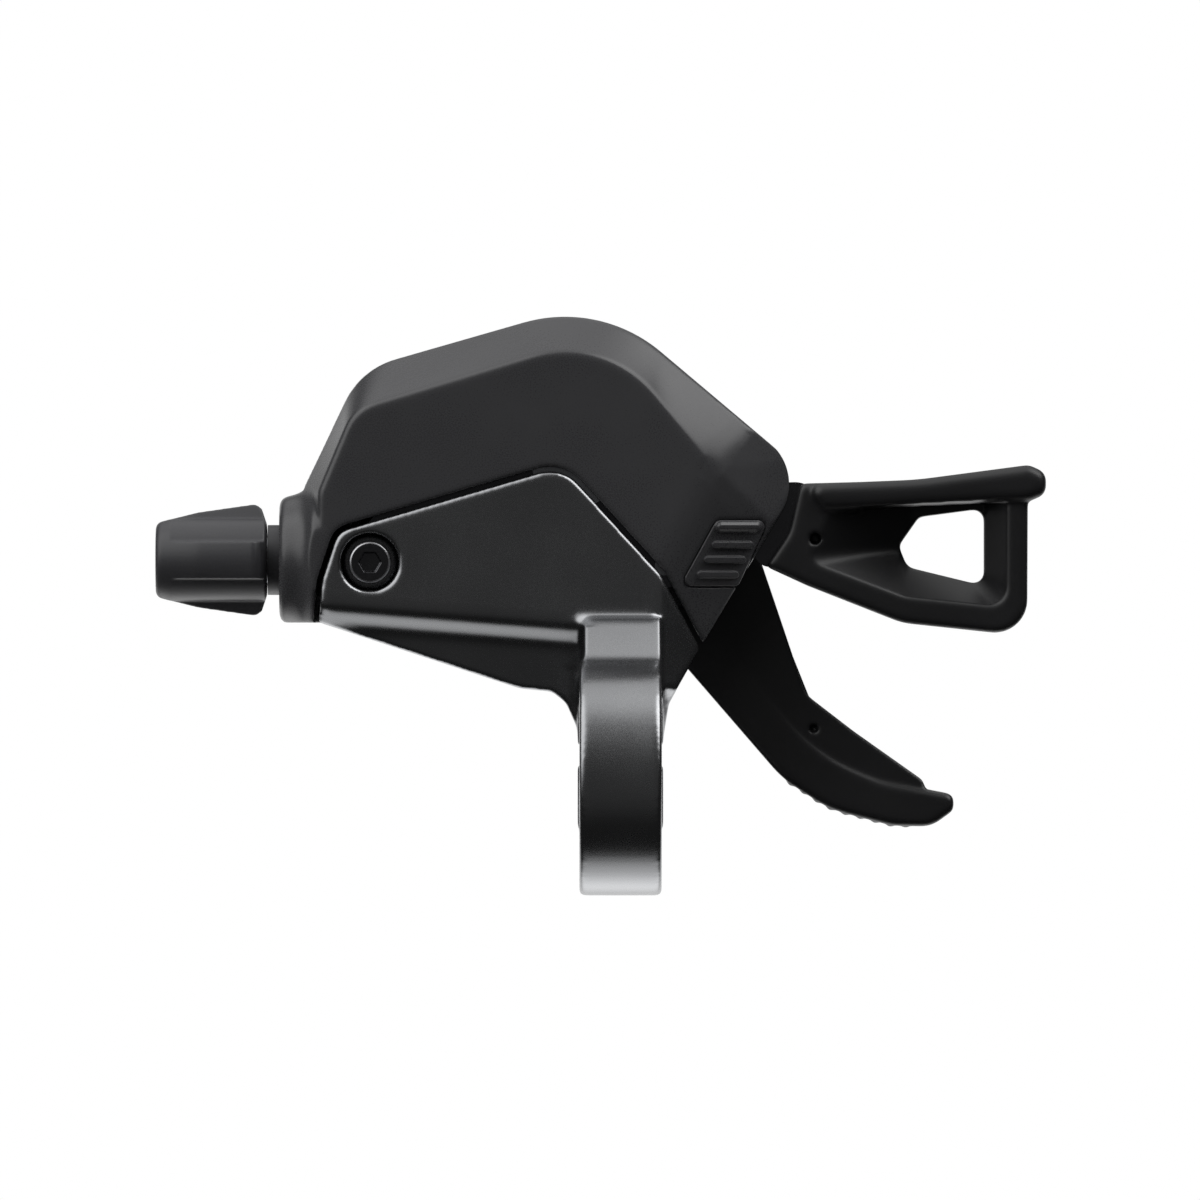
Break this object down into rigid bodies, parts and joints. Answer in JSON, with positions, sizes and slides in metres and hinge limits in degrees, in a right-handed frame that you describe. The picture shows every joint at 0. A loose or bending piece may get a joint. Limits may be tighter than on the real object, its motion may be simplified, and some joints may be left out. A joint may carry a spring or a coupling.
{
  "type": "trigger gear shifter",
  "caption": "Right-hand bicycle trigger gear shifter with a handlebar clamp, thumb lever, finger release lever, cable adjuster knob and an indexed cable drum inside.",
  "frame": {"origin": "centre of the handlebar clamp: on the handlebar's axis, halfway along the band", "axes": "+X along the handlebar towards the grip, +Z from the handlebar towards the top of the housing, +Y away from the rider's eye, along the main axle"},
  "size_m": [0.1143, 0.0442, 0.0741],
  "materials": {
    "bracket_metal": "fine-grained dark grey paint on cast alloy",
    "black_plastic": "satin black moulded plastic",
    "lever_plastic": "satin black glass-filled plastic",
    "knob_plastic": "satin dark grey moulded plastic",
    "drum_plastic": "dark moulded plastic",
    "black_steel": "black oxide",
    "steel": "zinc-plated",
    "spring_steel": "bare spring steel",
    "brass": "machined brass"
  },
  "bodies": {
    "housing": {"bracket": "bracket_metal", "clamp_bolt": "black_steel", "clamp_nut": "steel", "bracket_screw": "black_steel", "front_cover": "black_plastic", "cable_port_cap": "black_plastic", "rear_cover": "black_plastic", "rear_cover_screws": "black_steel", "base_plate": "steel", "rear_plate": "steel", "spacer_posts": "steel", "main_axle": "steel", "axle_spacers": "drum_plastic", "axle_washer": "steel", "axle_nut": "steel", "drum_spring": "spring_steel", "holding_pawl_pin": "steel", "thumb_spring": "spring_steel", "release_pin": "steel", "release_clip": "spring_steel", "adjuster_insert": "brass"},
    "thumb_lever": {"thumb_arm": "black_steel", "thumb_paddle": "lever_plastic", "drive_pawl_pin": "steel"},
    "drive_pawl": {"drive_pawl": "steel"},
    "release_lever": {"release_arm": "black_steel", "release_paddle": "lever_plastic", "release_spring": "spring_steel"},
    "drum": {"cable_drum": "drum_plastic", "hold_ratchet": "steel", "drive_ratchet": "steel"},
    "holding_pawl": {"holding_pawl": "steel"},
    "adjuster_sleeve": {"adjuster_sleeve": "knob_plastic"},
    "adjuster_knob": {"adjuster_knob": "knob_plastic", "adjuster_stem": "steel"}
  },
  "joints": [
    {"name": "thumb_lever_swing", "type": "hinge", "parent": "housing", "child": "thumb_lever", "pos_m": [-0.0058, 0.0203, 0.0399], "axis": [0, -1, 0], "range_deg": [0, 40], "stiffness_Nm_per_rad": 0.25, "springref_deg": -14.32},
    {"name": "release_lever_swing", "type": "hinge", "parent": "housing", "child": "release_lever", "pos_m": [0.0104, 0.0131, 0.0342], "axis": [0, 1, 0], "range_deg": [0, 12], "stiffness_Nm_per_rad": 0.25, "springref_deg": -14.32},
    {"name": "drum_turn", "type": "hinge", "parent": "housing", "child": "drum", "pos_m": [-0.0058, 0.0149, 0.0399], "axis": [0, -1, 0], "range_deg": [0, 160], "stiffness_Nm_per_rad": 0.02, "springref_deg": -28.65},
    {"name": "drive_pawl_swing", "type": "hinge", "parent": "thumb_lever", "child": "drive_pawl", "pos_m": [0.00636, 0.018, 0.02774], "axis": [0, 1, 0], "range_deg": [0, 10], "stiffness_Nm_per_rad": 0.01, "springref_deg": -17.19},
    {"name": "holding_pawl_swing", "type": "hinge", "parent": "housing", "child": "holding_pawl", "pos_m": [0.0056, 0.0118, 0.02702], "axis": [0, -1, 0], "range_deg": [0, 10]},
    {"name": "adjuster_travel", "type": "slide", "parent": "housing", "child": "adjuster_sleeve", "axis": [1, 0, 0], "range_m": [-0.002, 0.0014]},
    {"name": "adjuster_turn", "type": "hinge", "parent": "adjuster_sleeve", "child": "adjuster_knob", "pos_m": [-0.0525, 0.0149, 0.0278], "axis": [1, 0, 0], "range_deg": [-722, 506]}
  ],
  "couplings": [
    {"joint": "adjuster_turn", "follows": "adjuster_travel", "rad_per_m": 6283.2},
    {"joint": "holding_pawl_swing", "follows": "release_lever_swing", "ratio": 0.8}
  ]
}
